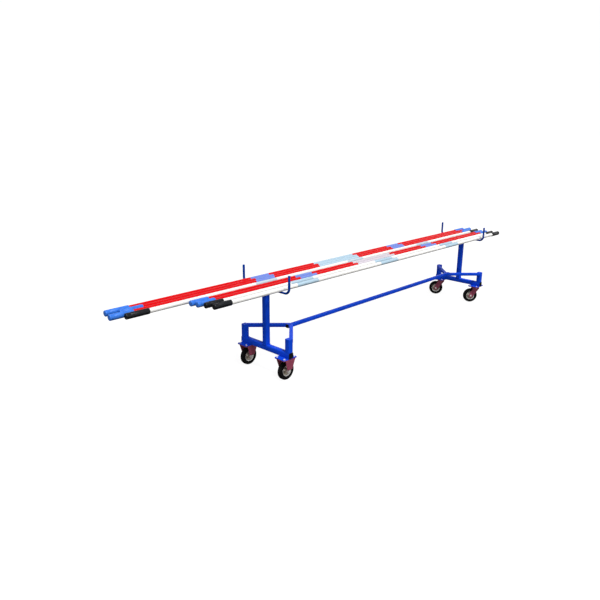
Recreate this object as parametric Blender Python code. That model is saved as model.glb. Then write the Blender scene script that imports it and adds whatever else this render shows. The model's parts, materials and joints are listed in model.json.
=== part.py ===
"""Crossbar cart: two wheeled end carriages joined by a spine tube, loaded with eight crossbars.

Metres, +Z up. X runs along the cart, the front is at -Y, and the floor is at Z = 0.
The origin lies on the floor under the middle of the loaded cart's box.
"""
import math

import bmesh
import bpy
from mathutils import Matrix, Vector

for existing in list(bpy.data.objects):
    bpy.data.objects.remove(existing, do_unlink=True)

# Gap left between pieces that touch
GAP = 0.0003

# Square tubes of the carriages, and the slimmer ones of the spine and its braces
FRAME_TUBE = 0.045
FRAME_WALL = 0.002
FRAME_CORNER = 0.006
SPINE_TUBE = 0.030
SPINE_WALL = 0.002
SPINE_CORNER = 0.004
CORNER_STEPS = 3

# Layout of the frame
CARRIAGE_SPACING = 2.936
BEAM_LENGTH = 0.544
POST_HEIGHT = 0.1065
BRACE_DROP = 0.002
APEX_INSET = 0.276
SPINE_OVERHANG = 0.008

# Cradles, bent from round bar
CRADLE_ROD = 0.016
CRADLE_WIDTH = 0.503
CRADLE_HEIGHT = 0.684
CRADLE_BEND = 0.045
HOOK_TOP = 0.825
BEND_STEPS = 6
ROD_BEVEL_RESOLUTION = 4

# Plastic end plugs
PLUG_FLANGE = 0.003
PLUG_CHAMFER = 0.0012
PLUG_DEPTH = 0.018

# Castors
CASTOR_HEIGHT = 0.180
CASTOR_SETBACK = 0.057
MOUNT_PLATE_THICKNESS = 0.005
PLATE_LENGTH = 0.138
PLATE_WIDTH = 0.110
PLATE_THICKNESS = 0.004
PLATE_CORNER = 0.010
BOLT_SPACING_X = 0.105
BOLT_SPACING_Y = 0.080
BOLT_RADIUS = 0.004
BOLT_HEAD_RADIUS = 0.0075
BOLT_HEAD_HEIGHT = 0.0053
BOLT_TIP = 0.002
BOLT_HOLE_CLEARANCE = 0.0006

# Swivel castors of the right carriage
CASTOR_TRAIL = 0.054
RACE_RADIUS = 0.036
RACE_HEIGHT = 0.010
KINGPIN_RADIUS = 0.008
KINGPIN_CLEARANCE = 0.0006
KINGPIN_HEIGHT = 0.007
CROWN_RADIUS = 0.038
CROWN_THICKNESS = 0.005
FORK_THICKNESS = 0.0035
FORK_TOP_REACH = 0.034
FORK_EYE_RADIUS = 0.022
HUB_SIDE_CLEARANCE = 0.001

# Forks of the left carriage's fixed castors, whose legs step in below a shoulder just above the axle
FIXED_TOP_REACH = 0.051
FIXED_TOP_SPREAD = 0.0545
FIXED_WEB_REACH = 0.042
FIXED_SHOULDER_RISE = 0.017
FIXED_SHOULDER_REACH = 0.026
FIXED_SHOULDER_SPREAD = 0.047
FIXED_BEND_RISE = 0.011
FIXED_EYE_RADIUS = 0.017
EYE_LEVELS = 6

# Wheels
WHEEL_RADIUS = 0.075
TYRE_WIDTH = 0.038
TYRE_SHOULDER = 0.007
RIM_RADIUS = 0.050
RIM_WIDTH = 0.033
RIM_WALL = 0.0035
WEB_THICKNESS = 0.010
HUB_RADIUS = 0.017
HUB_WIDTH = 0.049
AXLE_RADIUS = 0.006
AXLE_CLEARANCE = 0.0004
AXLE_HEAD_RADIUS = 0.0105
AXLE_HEAD_HEIGHT = 0.007
AXLE_TIP = 0.003

# Facets round the turned pieces
WHEEL_SEGMENTS = 32
PIN_SEGMENTS = 12
RACE_SEGMENTS = 24
BAR_SEGMENTS = 16

# Crossbars
BAR_RADIUS = 0.017
BAR_END_RADIUS = 0.021
BAR_END_LENGTH = 0.150
BAR_TIP_CHAMFER = 0.003
LONG_BAR = 4.500
SHORT_BAR = 4.000

# How far each group of crossbars drifts towards the front from the left cradle to the right one
LONG_DRIFT = 0.012
SHORT_DRIFT = 0.025

# Each crossbar: name, length, colour, its place across the left cradle as a share of the way from the cart's
# middle to the end of the cradle's level part, and the share of its length that lies left of the cart's middle
CROSSBARS = (
    ("long_crossbar_1", LONG_BAR, "red", 0.993, 0.5963),
    ("long_crossbar_2", LONG_BAR, "red", 0.755, 0.5796),
    ("long_crossbar_3", LONG_BAR, "red", 0.518, 0.6017),
    ("long_crossbar_4", LONG_BAR, "white", 0.281, 0.5824),
    ("short_crossbar_1", SHORT_BAR, "red", -0.015, 0.5410),
    ("short_crossbar_2", SHORT_BAR, "red", -0.271, 0.5370),
    ("short_crossbar_3", SHORT_BAR, "white", -0.528, 0.5300),
    ("short_crossbar_4", SHORT_BAR, "white", -0.838, 0.5245),
)

# The way each swivel castor's wheel trails from its swivel axis, in degrees from +X
TRAIL_ANGLES = {"right_front": 136.0, "right_rear": 122.0}

# Places that follow from the sizes above
AXLE_HEIGHT = WHEEL_RADIUS * math.cos(math.pi / WHEEL_SEGMENTS)
PLATE_BOTTOM = CASTOR_HEIGHT - PLATE_THICKNESS
RACE_BOTTOM = PLATE_BOTTOM - RACE_HEIGHT
CROWN_TOP = RACE_BOTTOM - GAP
FORK_INNER = HUB_WIDTH / 2 + HUB_SIDE_CLEARANCE
FORK_OUTER = FORK_INNER + FORK_THICKNESS
MOUNT_PLATE_BOTTOM = CASTOR_HEIGHT + GAP
MOUNT_PLATE_TOP = MOUNT_PLATE_BOTTOM + MOUNT_PLATE_THICKNESS
BEAM_BOTTOM = MOUNT_PLATE_TOP + GAP
BEAM_TOP = BEAM_BOTTOM + FRAME_TUBE
POST_Y = BEAM_LENGTH / 2 - FRAME_TUBE / 2
POST_BOTTOM = BEAM_TOP + GAP
POST_TOP = POST_BOTTOM + POST_HEIGHT
SPINE_Z = POST_TOP - BRACE_DROP - SPINE_TUBE / 2
CASTOR_Y = BEAM_LENGTH / 2 - CASTOR_SETBACK
CARRIAGE_X = CARRIAGE_SPACING / 2
APEX_X = CARRIAGE_X - APEX_INSET
BAR_Z = CRADLE_HEIGHT + CRADLE_ROD / 2 + GAP + BAR_RADIUS
CRADLE_LEVEL = CRADLE_WIDTH / 2 - CRADLE_BEND


def brace_layout():
    """Where a brace's centre line leaves its post and meets the spine's side, and half its footprint."""
    post_face = CARRIAGE_X - FRAME_TUBE / 2 - GAP
    slope = (post_face - APEX_X) / POST_Y
    spine_side = SPINE_TUBE / 2 + GAP
    meets_x = APEX_X + slope * spine_side
    footprint = SPINE_TUBE / 2 * math.hypot(slope, 1.0)
    return post_face, spine_side, meets_x, footprint


def castor_places():
    """Each castor's name, the carriage that it belongs to, and its side of the cart."""
    for side in ("left", "right"):
        for end, across in (("front", -1), ("rear", 1)):
            yield side + "_" + end, side, across


def trail_setting(name):
    """How far a castor's axle trails the middle of its plate, and the way it trails. Fixed castors don't."""
    if name in TRAIL_ANGLES:
        return CASTOR_TRAIL, math.radians(TRAIL_ANGLES[name])
    return 0.0, 0.0


def wheel_reach(trail, angle):
    """How far a wheel reaches in +Y from the middle of its castor's plate."""
    tread = TYRE_WIDTH / 2 - TYRE_SHOULDER
    step = 2 * math.pi / WHEEL_SEGMENTS
    widest = 0.0
    for index in range(WHEEL_SEGMENTS):
        forward = math.cos(step * (index + 0.5)) * math.sin(angle)
        for radius, half_width in tyre_outline(tread):
            reach = radius * forward + half_width * abs(math.cos(angle))
            widest = max(widest, reach)
    return trail * math.sin(angle) + widest


def tyre_outline(tread):
    """The tyre's side outline as (radius, half width), from its tread to its seat on the rim."""
    seat = RIM_RADIUS + GAP
    height = WHEEL_RADIUS - seat
    return (
        (WHEEL_RADIUS, tread),
        (WHEEL_RADIUS - 0.2 * height, TYRE_WIDTH / 2 - 0.0005),
        (WHEEL_RADIUS - 0.6 * height, TYRE_WIDTH / 2),
        (seat, RIM_WIDTH / 2),
    )


def cart_offset():
    """Moves the cart so that the middle of the loaded cart's box lies on the origin."""
    left = -max(length * left_share for _, length, _, _, left_share in CROSSBARS)
    right = max(length * (1 - left_share) for _, length, _, _, left_share in CROSSBARS)
    beam_reach = BEAM_LENGTH / 2 + GAP + PLUG_FLANGE
    behind = [beam_reach]
    in_front = [beam_reach]
    for name, _, across in castor_places():
        trail, angle = trail_setting(name)
        behind.append(across * CASTOR_Y + wheel_reach(trail, angle))
        in_front.append(-across * CASTOR_Y + wheel_reach(trail, -angle))
    return Vector((-(left + right) / 2, (max(in_front) - max(behind)) / 2, 0.0))


def make_material(name, colour, roughness, metallic):
    material = bpy.data.materials.new(name)
    material.use_nodes = True
    shader = material.node_tree.nodes["Principled BSDF"]
    shader.inputs["Base Color"].default_value = (*colour, 1.0)
    shader.inputs["Roughness"].default_value = roughness
    shader.inputs["Metallic"].default_value = metallic
    material.diffuse_color = (*colour, 1.0)
    return material


FINISHES = {
    "frame_blue": ((0.006, 0.050, 0.50), 0.35, 0.0),
    "plug_black": ((0.012, 0.012, 0.014), 0.55, 0.0),
    "fork_maroon": ((0.17, 0.025, 0.05), 0.40, 0.2),
    "zinc": ((0.60, 0.60, 0.57), 0.35, 1.0),
    "rim_steel": ((0.50, 0.48, 0.44), 0.35, 1.0),
    "tyre_black": ((0.010, 0.010, 0.010), 0.75, 0.0),
    "bar_red": ((0.80, 0.022, 0.032), 0.25, 0.0),
    "bar_white": ((0.88, 0.88, 0.85), 0.25, 0.0),
}


def empty(name, parent, location, angle=0.0):
    holder = bpy.data.objects.new(name, None)
    bpy.context.collection.objects.link(holder)
    holder.parent = parent
    holder.location = location
    holder.rotation_euler = (0.0, 0.0, angle)
    return holder


def place(name, mesh, finish, parent, location=(0.0, 0.0, 0.0), rotation=None):
    """Puts a mesh in the scene as the piece of that name, with a material of its own."""
    piece = bpy.data.objects.new(name, mesh)
    bpy.context.collection.objects.link(piece)
    piece.parent = parent
    piece.location = location
    if rotation is not None:
        piece.rotation_euler = rotation.to_euler()
    if not mesh.materials:
        mesh.materials.append(None)
    piece.material_slots[0].link = "OBJECT"
    piece.material_slots[0].material = make_material(name, *FINISHES[finish])
    return piece


def loft(name, rings, ring_closed=False, smooth=False):
    """A closed body through rings of equally many points.

    An open loft is capped at its first and last rings. A closed one joins its last ring to its first,
    which leaves a bore through it.
    """
    shape = bmesh.new()
    loops = [[shape.verts.new(point) for point in ring] for ring in rings]
    count = len(loops[0])
    pairs = list(zip(loops, loops[1:]))
    if ring_closed:
        pairs.append((loops[-1], loops[0]))
    for lower, upper in pairs:
        for index in range(count):
            following = (index + 1) % count
            shape.faces.new((lower[index], lower[following], upper[following], upper[index]))
    if not ring_closed:
        shape.faces.new(loops[0])
        shape.faces.new(loops[-1])
    bmesh.ops.recalc_face_normals(shape, faces=shape.faces)
    mesh = bpy.data.meshes.new(name)
    shape.to_mesh(mesh)
    shape.free()
    if smooth:
        shade_round(mesh)
    return mesh


def shade_round(mesh):
    mesh.shade_smooth()
    mesh.set_sharp_from_angle(angle=math.radians(35.0))


def rounded_rectangle(width, height, corner, z):
    """Points round a level rectangle with rounded corners."""
    points = []
    centres = ((1, 1, 0.0), (-1, 1, 0.5), (-1, -1, 1.0), (1, -1, 1.5))
    for side_x, side_y, start in centres:
        for step in range(CORNER_STEPS + 1):
            angle = math.pi * (start + 0.5 * step / CORNER_STEPS)
            x = side_x * (width / 2 - corner) + corner * math.cos(angle)
            y = side_y * (height / 2 - corner) + corner * math.sin(angle)
            points.append(Vector((x, y, z)))
    return points


def circle(radius, z, segments, corners=0):
    """Points round a level circle, or round a polygon of that many corners when it has any."""
    points = []
    for index in range(segments):
        angle = 2 * math.pi * (index + 0.5) / segments
        reach = radius
        if corners:
            half_side = math.pi / corners
            from_middle = angle % (2 * half_side) - half_side
            reach = radius * math.cos(half_side) / math.cos(from_middle)
        points.append(Vector((reach * math.cos(angle), reach * math.sin(angle), z)))
    return points


def turned(name, profile, segments, bored=False):
    """A body turned round Z through (radius, height) points."""
    rings = [circle(radius, z, segments) for radius, z in profile]
    return loft(name, rings, bored, True)


def tube_frame(direction):
    """A rotation that takes Z along a tube and keeps the tube's faces level and upright."""
    along = direction.normalized()
    side = Vector((1.0, 0.0, 0.0))
    if abs(along.z) < 0.5:
        side = Vector((0.0, 0.0, 1.0)).cross(along).normalized()
    other = along.cross(side).normalized()
    return Matrix((side, other, along)).transposed()


def square_tube(name, finish, parent, start, end, size, wall, corner, end_normals=None, capped=False):
    """A hollow square tube from start to end, cut square or along planes with the given normals.

    A capped tube is closed at its end and open at its start.
    """
    start = Vector(start)
    end = Vector(end)
    turn = tube_frame(end - start)
    length = (end - start).length
    normals = [Vector((0.0, 0.0, 1.0))] * 2
    if end_normals:
        normals = [turn.transposed() @ Vector(normal) for normal in end_normals]

    def ring(width, radius, level, normal):
        points = rounded_rectangle(width, width, radius, level)
        for point in points:
            point.z -= (normal.x * point.x + normal.y * point.y) / normal.z
        return points

    inner = size - 2 * wall
    inner_corner = corner - wall
    if capped:
        rings = [
            ring(inner, inner_corner, length - wall, normals[1]),
            ring(inner, inner_corner, 0.0, normals[0]),
            ring(size, corner, 0.0, normals[0]),
            ring(size, corner, length, normals[1]),
        ]
    else:
        rings = [
            ring(size, corner, 0.0, normals[0]),
            ring(size, corner, length, normals[1]),
            ring(inner, inner_corner, length, normals[1]),
            ring(inner, inner_corner, 0.0, normals[0]),
        ]
    return place(name, loft(name, rings, not capped), finish, parent, start, turn)


def end_plug(name, parent, location, direction, size, wall, corner):
    """A push-in plug: a chamfered flange over a tube's end and a stub inside it."""
    stub = size - 2 * wall - 2 * GAP
    stub_corner = corner - wall - GAP
    face = size - 2 * PLUG_CHAMFER
    rings = [
        rounded_rectangle(stub, stub, stub_corner, -PLUG_DEPTH),
        rounded_rectangle(stub, stub, stub_corner, GAP),
        rounded_rectangle(size, size, corner, GAP),
        rounded_rectangle(size, size, corner, GAP + PLUG_FLANGE - PLUG_CHAMFER),
        rounded_rectangle(face, face, corner - PLUG_CHAMFER, GAP + PLUG_FLANGE),
    ]
    return place(name, loft(name, rings), "plug_black", parent, location, tube_frame(Vector(direction)))


def combine(name, steps):
    """Joins and cuts meshes in turn with Boolean modifiers, and returns the finished mesh."""
    helpers = []
    base = None
    for mesh, operation in steps:
        helper = bpy.data.objects.new("helper", mesh)
        bpy.context.collection.objects.link(helper)
        helpers.append(helper)
        if base is None:
            base = helper
            continue
        cut = base.modifiers.new("combine", "BOOLEAN")
        cut.operation = operation
        cut.solver = "EXACT"
        cut.object = helper
    bpy.context.view_layer.update()
    evaluated = base.evaluated_get(bpy.context.evaluated_depsgraph_get())
    mesh = bpy.data.meshes.new_from_object(evaluated)
    mesh.name = name
    for helper in helpers:
        bpy.data.objects.remove(helper, do_unlink=True)
    shade_round(mesh)
    return mesh


def moved(mesh, matrix):
    mesh.transform(matrix)
    return mesh


def bolt_places():
    for side_x in (-1, 1):
        for side_y in (-1, 1):
            yield side_x * BOLT_SPACING_X / 2, side_y * BOLT_SPACING_Y / 2


def castor_bolt():
    """A bolt along Z through both plates, with its head below and its nut above, as one body."""
    head_top = PLATE_BOTTOM + GAP
    nut_bottom = MOUNT_PLATE_TOP + GAP
    nut_top = nut_bottom + BOLT_HEAD_HEIGHT

    def shank(z):
        return circle(BOLT_RADIUS, z, PIN_SEGMENTS)

    def flats(z):
        return circle(BOLT_HEAD_RADIUS, z, PIN_SEGMENTS, 6)

    return loft("bolt", [
        flats(head_top - BOLT_HEAD_HEIGHT),
        flats(head_top),
        shank(head_top),
        shank(nut_bottom),
        flats(nut_bottom),
        flats(nut_top),
        shank(nut_top),
        shank(nut_top + BOLT_TIP),
    ])


def plate_blank(name, bottom, top):
    """A rounded plate of the castors' size, before its holes and bolts."""
    return loft(name, [rounded_rectangle(PLATE_LENGTH, PLATE_WIDTH, PLATE_CORNER, z) for z in (bottom, top)])


def mount_plate_mesh():
    """The plate welded under a beam, with a clearance hole for each castor bolt."""
    steps = [(plate_blank("mount_plate", 0.0, MOUNT_PLATE_THICKNESS), "UNION")]
    for x, y in bolt_places():
        hole = loft("hole", [
            circle(BOLT_RADIUS + BOLT_HOLE_CLEARANCE, -GAP, PIN_SEGMENTS),
            circle(BOLT_RADIUS + BOLT_HOLE_CLEARANCE, MOUNT_PLATE_THICKNESS + GAP, PIN_SEGMENTS),
        ])
        steps.append((moved(hole, Matrix.Translation((x, y, 0.0))), "DIFFERENCE"))
    return combine("mount_plate", steps)


def race_steps():
    """The swivel race under a castor's plate, with the socket that the fork's kingpin turns in."""
    race = loft("race", [
        circle(RACE_RADIUS, PLATE_BOTTOM + PLATE_THICKNESS / 2, RACE_SEGMENTS),
        circle(RACE_RADIUS, RACE_BOTTOM, RACE_SEGMENTS),
    ])
    bore = KINGPIN_RADIUS + KINGPIN_CLEARANCE
    socket = loft("socket", [
        circle(bore, RACE_BOTTOM - GAP, RACE_SEGMENTS),
        circle(bore, RACE_BOTTOM + KINGPIN_HEIGHT + KINGPIN_CLEARANCE, RACE_SEGMENTS),
    ])
    return [(race, "UNION"), (socket, "DIFFERENCE")]


def castor_plate_mesh(extra_steps):
    """The castor's own top plate with its four bolts, round the middle of the plate."""
    steps = [(plate_blank("castor_plate", PLATE_BOTTOM, CASTOR_HEIGHT), "UNION")] + extra_steps
    for x, y in bolt_places():
        steps.append((moved(castor_bolt(), Matrix.Translation((x, y, 0.0))), "UNION"))
    return combine("castor_plate", steps)


def tangent_outline():
    """A fork leg's outline: a straight top edge, two straight sides, and a round eye about the axle."""
    eye = Vector((CASTOR_TRAIL, AXLE_HEIGHT))
    top = CROWN_TOP - CROWN_THICKNESS / 2
    corners = (Vector((-FORK_TOP_REACH, top)), Vector((FORK_TOP_REACH, top)))
    angles = []
    for corner, side in zip(corners, (-1, 1)):
        away = corner - eye
        spread = math.acos(FORK_EYE_RADIUS / away.length)
        angles.append(math.atan2(away.y, away.x) - side * spread)
    steps = 8
    start, stop = angles
    sweep = (stop - start) % (2 * math.pi)
    outline = [corners[0]]
    for index in range(steps + 1):
        angle = start + sweep * index / steps
        outline.append(eye + FORK_EYE_RADIUS * Vector((math.cos(angle), math.sin(angle))))
    outline.append(corners[1])
    return outline


def axle_hole_step(trail):
    """The cut for the axle through both legs of a fork."""
    hole = loft("hole", [
        circle(AXLE_RADIUS + AXLE_CLEARANCE, -FORK_OUTER - HUB_WIDTH, PIN_SEGMENTS),
        circle(AXLE_RADIUS + AXLE_CLEARANCE, FORK_OUTER + HUB_WIDTH, PIN_SEGMENTS),
    ])
    across = Matrix.Translation((trail, 0.0, AXLE_HEIGHT)) @ Matrix.Rotation(math.pi / 2, 4, "X")
    return moved(hole, across), "DIFFERENCE"


def fork_mesh():
    """The swivel fork round its swivel axis, with its wheel trailing along +X."""
    crown = turned("crown", [
        (CROWN_RADIUS, CROWN_TOP - CROWN_THICKNESS),
        (CROWN_RADIUS, CROWN_TOP),
        (KINGPIN_RADIUS, CROWN_TOP),
        (KINGPIN_RADIUS, CROWN_TOP + KINGPIN_HEIGHT),
    ], RACE_SEGMENTS)
    steps = [(crown, "UNION")]
    for side in (-1, 1):
        faces = (side * FORK_INNER, side * FORK_OUTER)
        leg = loft("leg", [[Vector((x, y, z)) for x, z in tangent_outline()] for y in faces])
        steps.append((leg, "UNION"))
    steps.append(axle_hole_step(CASTOR_TRAIL))
    return combine("fork", steps)


def fixed_leg_levels():
    """The fixed fork's leg from top to eye, as (height, half length, spread of its inner face)."""
    start = math.asin(FIXED_BEND_RISE / FIXED_EYE_RADIUS)
    levels = [
        (PLATE_BOTTOM - GAP, FIXED_TOP_REACH, FIXED_TOP_SPREAD - FORK_THICKNESS),
        (AXLE_HEIGHT + FIXED_SHOULDER_RISE, FIXED_SHOULDER_REACH, FIXED_SHOULDER_SPREAD - FORK_THICKNESS),
    ]
    for index in range(EYE_LEVELS + 1):
        angle = start - (start + math.pi / 2) * index / (EYE_LEVELS + 0.5)
        z = AXLE_HEIGHT + FIXED_EYE_RADIUS * math.sin(angle)
        levels.append((z, FIXED_EYE_RADIUS * math.cos(angle), FORK_INNER))
    return levels


def block_ring(half, near, far, z):
    """The corners of a level rectangle of that half length, from near to far across it."""
    corners = ((-half, near), (half, near), (half, far), (-half, far))
    return [Vector((x, y, z)) for x, y in corners]


def fixed_fork_mesh():
    """The fixed fork under its plate: a top web and two legs that step in towards the axle."""
    levels = fixed_leg_levels()
    top, _, inner = levels[0]
    edge = inner + FORK_THICKNESS / 2
    web = loft("web", [block_ring(FIXED_WEB_REACH, -edge, edge, z) for z in (top - FORK_THICKNESS, top)])
    steps = [(web, "UNION")]
    for side in (-1, 1):
        rings = [
            block_ring(half, side * spread, side * (spread + FORK_THICKNESS), z)
            for z, half, spread in levels
        ]
        steps.append((loft("leg", rings), "UNION"))
    steps.append(axle_hole_step(0.0))
    return combine("fixed_fork", steps)


def axle_mesh():
    """The axle bolt along Z: its head, its shank through both fork legs, and its end past the nut."""
    rings = [
        circle(AXLE_HEAD_RADIUS, -FORK_OUTER - GAP - AXLE_HEAD_HEIGHT, PIN_SEGMENTS, 6),
        circle(AXLE_HEAD_RADIUS, -FORK_OUTER - GAP, PIN_SEGMENTS, 6),
        circle(AXLE_RADIUS, -FORK_OUTER - GAP, PIN_SEGMENTS),
        circle(AXLE_RADIUS, FORK_OUTER + GAP + AXLE_HEAD_HEIGHT + AXLE_TIP, PIN_SEGMENTS),
    ]
    return loft("axle", rings)


def nut_mesh():
    """The axle's nut along Z, against the fork's other leg."""
    bore = AXLE_RADIUS + AXLE_CLEARANCE
    near = FORK_OUTER + GAP
    far = near + AXLE_HEAD_HEIGHT
    rings = [
        circle(AXLE_HEAD_RADIUS, near, PIN_SEGMENTS, 6),
        circle(AXLE_HEAD_RADIUS, far, PIN_SEGMENTS, 6),
        circle(bore, far, PIN_SEGMENTS),
        circle(bore, near, PIN_SEGMENTS),
    ]
    return loft("nut", rings, True)


def rim_mesh():
    """The pressed rim: a hub with its bore, a web and a barrel that the tyre sits on."""
    bore = AXLE_RADIUS + AXLE_CLEARANCE
    barrel = RIM_RADIUS - RIM_WALL
    half = [
        (bore, HUB_WIDTH / 2),
        (HUB_RADIUS, HUB_WIDTH / 2),
        (HUB_RADIUS, WEB_THICKNESS / 2),
        (barrel, WEB_THICKNESS / 2),
        (barrel, RIM_WIDTH / 2),
        (RIM_RADIUS, RIM_WIDTH / 2),
    ]
    other = [(radius, -z) for radius, z in reversed(half)]
    return turned("rim", half + other, WHEEL_SEGMENTS, True)


def tyre_mesh():
    """The rubber tyre, with a flat tread and rounded shoulders."""
    half = tyre_outline(TYRE_WIDTH / 2 - TYRE_SHOULDER)
    other = [(radius, -width) for radius, width in reversed(half)]
    return turned("tyre", list(half) + other, WHEEL_SEGMENTS, True)


def cradle(name, parent):
    """Round bar bent up at both ends: level under the crossbars, with a hook at each side."""
    half = CRADLE_WIDTH / 2
    right_side = [(half, HOOK_TOP)]
    for step in range(BEND_STEPS + 1):
        angle = math.pi / 2 * step / BEND_STEPS
        across = CRADLE_LEVEL + CRADLE_BEND * math.cos(angle)
        height = CRADLE_HEIGHT + CRADLE_BEND - CRADLE_BEND * math.sin(angle)
        right_side.append((across, height))
    route = right_side + [(-across, height) for across, height in reversed(right_side)]
    curve = bpy.data.curves.new(name, "CURVE")
    curve.dimensions = "3D"
    curve.bevel_depth = CRADLE_ROD / 2
    curve.bevel_resolution = ROD_BEVEL_RESOLUTION
    curve.use_fill_caps = True
    spline = curve.splines.new("POLY")
    spline.points.add(len(route) - 1)
    for point, (across, height) in zip(spline.points, route):
        point.co = (0.0, across, height, 1.0)
    rod = bpy.data.objects.new(name, curve)
    bpy.context.collection.objects.link(rod)
    rod.parent = parent
    curve.materials.append(make_material(name, *FINISHES["frame_blue"]))
    return rod


def frame_tube(name, parent, start, end, capped=False):
    return square_tube(
        name, "frame_blue", parent, start, end, FRAME_TUBE, FRAME_WALL, FRAME_CORNER, capped=capped,
    )


def carriage(side, sign, cart, plate):
    """One end carriage of the frame. Its inner side faces the cart's middle."""
    holder = empty(side + "_carriage", cart, (sign * CARRIAGE_X, 0.0, 0.0))
    beam_z = (BEAM_BOTTOM + BEAM_TOP) / 2
    half = BEAM_LENGTH / 2
    frame_tube(side + "_base_beam", holder, (0.0, -half, beam_z), (0.0, half, beam_z))
    mast_top = CRADLE_HEIGHT - CRADLE_ROD / 2 - GAP
    frame_tube(side + "_mast", holder, (0.0, 0.0, POST_BOTTOM), (0.0, 0.0, mast_top), True)
    cradle(side + "_cradle", holder)
    post_face, spine_side, meets_x, _ = brace_layout()
    for end, across in (("front", -1), ("rear", 1)):
        name = side + "_" + end
        post_y = across * POST_Y
        frame_tube(name + "_post", holder, (0.0, post_y, POST_BOTTOM), (0.0, post_y, POST_TOP), True)
        square_tube(
            name + "_brace", "frame_blue", holder,
            (sign * (post_face - CARRIAGE_X), post_y, SPINE_Z),
            (sign * (meets_x - CARRIAGE_X), across * spine_side, SPINE_Z),
            SPINE_TUBE, SPINE_WALL, SPINE_CORNER,
            ((1.0, 0.0, 0.0), (0.0, 1.0, 0.0)),
        )
        end_plug(
            name + "_beam_plug", holder, (0.0, across * half, beam_z), (0.0, across, 0.0),
            FRAME_TUBE, FRAME_WALL, FRAME_CORNER,
        )
        under_beam = (0.0, across * CASTOR_Y, MOUNT_PLATE_BOTTOM)
        place(name + "_mount_plate", plate, "frame_blue", holder, under_beam)
    return holder


def castor(name, holder, across, meshes):
    """A castor: a plate on the frame, a fork that turns under it if it swivels, and a wheel on an axle."""
    middle = (0.0, across * CASTOR_Y, 0.0)
    kind = "swivel" if name in TRAIL_ANGLES else "fixed"
    trail, angle = trail_setting(name)
    place(name + "_castor_plate", meshes[kind + "_plate"], "fork_maroon", holder, middle)
    under = empty(name + "_" + kind, holder, middle, angle)
    place(name + "_fork", meshes[kind + "_fork"], "fork_maroon", under)
    hub = empty(name + "_hub", under, (trail, 0.0, AXLE_HEIGHT))
    across_wheel = Matrix.Rotation(math.pi / 2, 3, "X")
    place(name + "_axle", meshes["axle"], "zinc", hub, rotation=across_wheel)
    place(name + "_axle_nut", meshes["nut"], "zinc", hub, rotation=across_wheel)
    place(name + "_rim", meshes["rim"], "rim_steel", hub, rotation=across_wheel)
    place(name + "_tyre", meshes["tyre"], "tyre_black", hub, rotation=across_wheel)


def crossbar(name, length, colour, across_share, left_share, cart):
    """A round crossbar that lies nearly along X, with a wider end piece at each end."""
    half = length / 2
    shoulder = half - BAR_END_LENGTH
    profile = [
        (BAR_END_RADIUS - BAR_TIP_CHAMFER, -half),
        (BAR_END_RADIUS, -half + BAR_TIP_CHAMFER),
        (BAR_END_RADIUS, -shoulder),
        (BAR_RADIUS, -shoulder),
    ]
    profile += [(radius, -z) for radius, z in reversed(profile)]
    mesh = turned(name, profile, BAR_SEGMENTS)
    drift = LONG_DRIFT if length == LONG_BAR else SHORT_DRIFT
    slope = -drift / CARRIAGE_SPACING
    middle_x = half - length * left_share
    middle_y = across_share * CRADLE_LEVEL + slope * (middle_x + CARRIAGE_X)
    place(name, mesh, "bar_" + colour, cart, (middle_x, middle_y, BAR_Z), tube_frame(Vector((1.0, slope, 0.0))))


def spine(cart):
    """The long tube between the two apexes, with a plug in each end."""
    _, _, meets_x, footprint = brace_layout()
    half = meets_x + footprint + SPINE_OVERHANG
    square_tube(
        "spine_tube", "frame_blue", cart, (-half, 0.0, SPINE_Z), (half, 0.0, SPINE_Z),
        SPINE_TUBE, SPINE_WALL, SPINE_CORNER,
    )
    for side, sign in (("left", -1), ("right", 1)):
        end_plug(
            side + "_spine_plug", cart, (sign * half, 0.0, SPINE_Z), (sign, 0.0, 0.0),
            SPINE_TUBE, SPINE_WALL, SPINE_CORNER,
        )


def build():
    cart = empty("cart", None, cart_offset())
    meshes = {
        "swivel_plate": castor_plate_mesh(race_steps()),
        "fixed_plate": castor_plate_mesh([]),
        "swivel_fork": fork_mesh(),
        "fixed_fork": fixed_fork_mesh(),
        "axle": axle_mesh(),
        "nut": nut_mesh(),
        "rim": rim_mesh(),
        "tyre": tyre_mesh(),
    }
    plate = mount_plate_mesh()
    holders = {side: carriage(side, sign, cart, plate) for side, sign in (("left", -1), ("right", 1))}
    for name, side, across in castor_places():
        castor(name, holders[side], across, meshes)
    spine(cart)
    for name, length, colour, across_share, left_share in CROSSBARS:
        crossbar(name, length, colour, across_share, left_share, cart)
    bpy.context.view_layer.update()


build()
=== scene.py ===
import json
import math

import bmesh
import bpy
from mathutils import Matrix, Vector


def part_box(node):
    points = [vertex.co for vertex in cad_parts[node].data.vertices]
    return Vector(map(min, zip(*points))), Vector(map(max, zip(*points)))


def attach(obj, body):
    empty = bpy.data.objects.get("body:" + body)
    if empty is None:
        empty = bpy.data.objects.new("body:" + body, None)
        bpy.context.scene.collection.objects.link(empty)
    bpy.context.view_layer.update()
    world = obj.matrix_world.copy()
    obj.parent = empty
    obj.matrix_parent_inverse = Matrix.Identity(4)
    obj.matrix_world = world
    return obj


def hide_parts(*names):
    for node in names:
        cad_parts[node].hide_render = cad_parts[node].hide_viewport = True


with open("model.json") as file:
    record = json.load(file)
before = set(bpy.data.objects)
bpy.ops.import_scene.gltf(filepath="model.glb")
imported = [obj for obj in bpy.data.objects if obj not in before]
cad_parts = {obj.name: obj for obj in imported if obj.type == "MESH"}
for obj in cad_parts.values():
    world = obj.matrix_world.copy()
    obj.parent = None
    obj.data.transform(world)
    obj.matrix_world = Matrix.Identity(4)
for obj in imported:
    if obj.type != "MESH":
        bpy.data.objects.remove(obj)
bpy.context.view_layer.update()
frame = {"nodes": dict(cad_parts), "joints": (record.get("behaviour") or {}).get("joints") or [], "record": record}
JOINTS = {joint["name"]: joint for joint in frame["joints"]}
BODIES = frame["record"]["behaviour"]["bodies"]
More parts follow.
